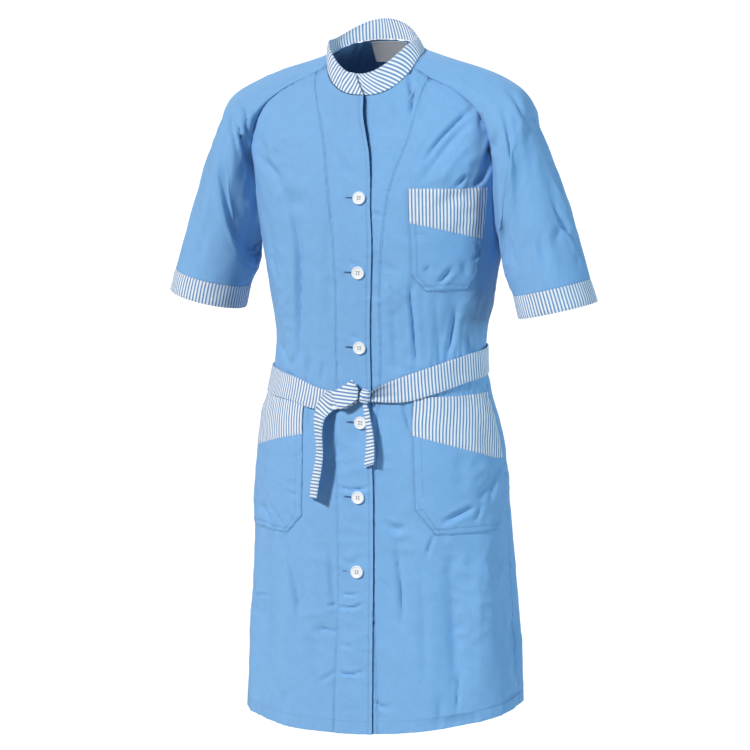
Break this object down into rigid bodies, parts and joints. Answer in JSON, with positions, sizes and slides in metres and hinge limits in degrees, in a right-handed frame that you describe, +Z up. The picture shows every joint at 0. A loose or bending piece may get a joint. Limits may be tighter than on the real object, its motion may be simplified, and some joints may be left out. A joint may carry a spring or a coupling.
{
  "type": "short-sleeved work coat",
  "caption": "Knee-length buttoned work coat in light blue cloth, hollow as worn, with short sleeves, striped stand collar, cuffs and pocket tops, and a tied belt.",
  "frame": {"origin": "on the body's axis at the height of the collar seam over the shoulders, where the wearer's neck and shoulders hold the coat up", "axes": "+Z up, -Y the way the coat faces, +X to the wearer's left"},
  "size_m": [0.6378, 0.2867, 1.0159],
  "materials": {
    "blue_cloth": "matt plain weave",
    "striped_cloth": "matt plain weave, narrow blue and white stripes",
    "white_plastic": "polished",
    "white_tape": "smooth woven tape"
  },
  "bodies": {
    "root": {"back": "blue_cloth", "belt": "striped_cloth", "belt_knot": "striped_cloth", "belt_loop": "striped_cloth", "belt_tail_left": "striped_cloth", "belt_tail_right": "striped_cloth", "button_1": "white_plastic", "button_2": "white_plastic", "button_3": "white_plastic", "button_4": "white_plastic", "button_5": "white_plastic", "button_6": "white_plastic", "chest_pocket": "blue_cloth", "chest_pocket_trim": "striped_cloth", "collar": "striped_cloth", "cuff_left": "striped_cloth", "cuff_right": "striped_cloth", "front_band_left": "blue_cloth", "front_band_right": "blue_cloth", "front_left": "blue_cloth", "front_right": "blue_cloth", "hip_pocket_left": "blue_cloth", "hip_pocket_left_trim": "striped_cloth", "hip_pocket_right": "blue_cloth", "hip_pocket_right_trim": "striped_cloth", "label": "white_tape", "sleeve_left_back": "blue_cloth", "sleeve_left_front": "blue_cloth", "sleeve_right_back": "blue_cloth", "sleeve_right_front": "blue_cloth"}
  },
  "joints": []
}
